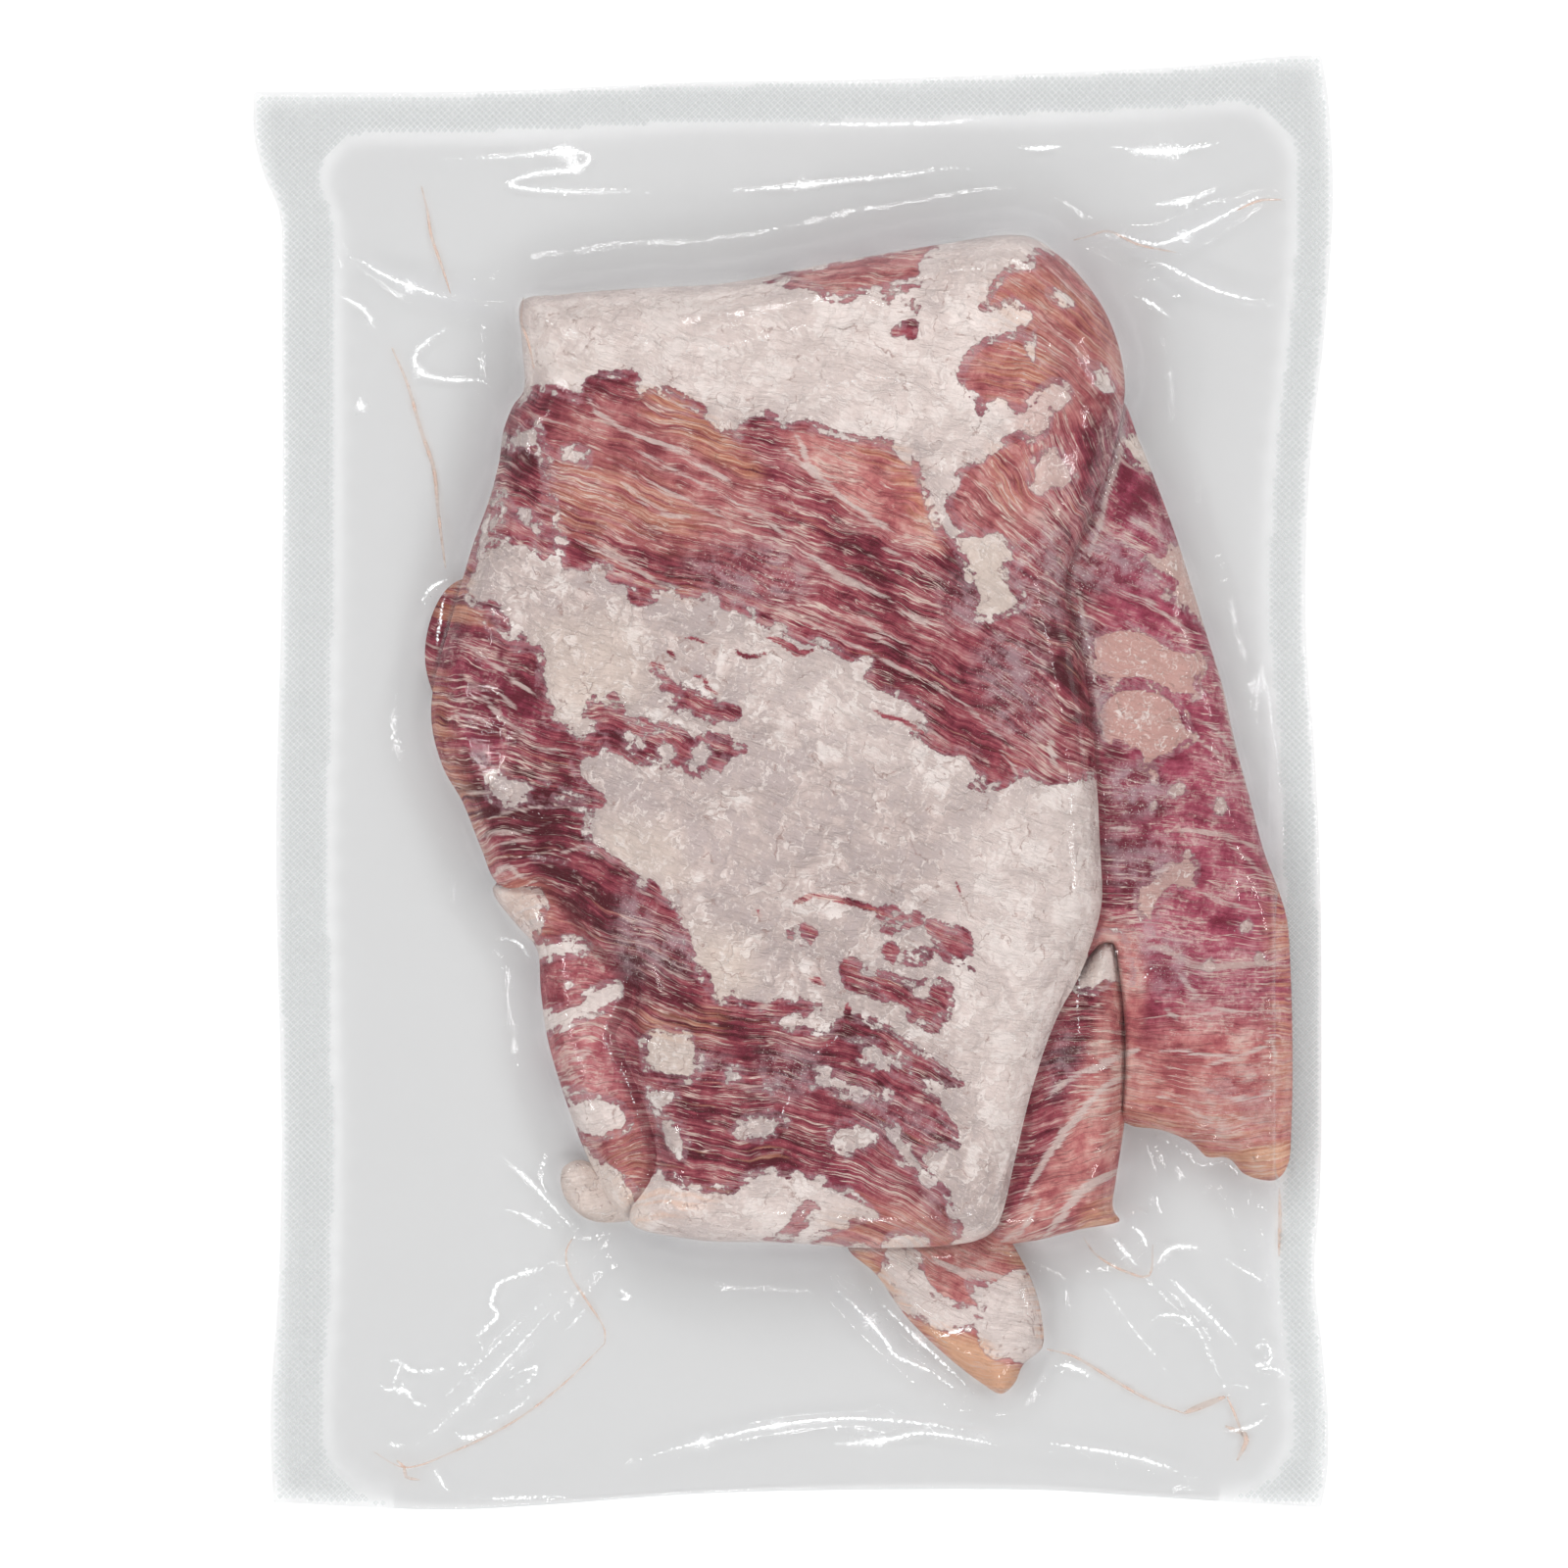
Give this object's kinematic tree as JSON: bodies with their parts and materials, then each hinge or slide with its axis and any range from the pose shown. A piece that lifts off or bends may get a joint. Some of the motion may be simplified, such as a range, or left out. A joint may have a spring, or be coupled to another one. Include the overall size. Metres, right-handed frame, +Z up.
{
  "type": "vacuum pack of pork secreto",
  "caption": "Clear vacuum pouch drawn tight over thin marbled slabs of raw pork, with an embossed sealed rim, lying flat.",
  "frame": {"origin": "middle of the pouch's outline, on the surface that it lies on", "axes": "+Y along the pouch's length, +X across it to the right with the shown side up, +Z up out of the shown side"},
  "size_m": [0.2202, 0.2966, 0.0275],
  "materials": {
    "clear_film": "clear gloss film"
  },
  "bodies": {
    "root": {"vacuum_pouch": "clear_film"}
  },
  "joints": []
}
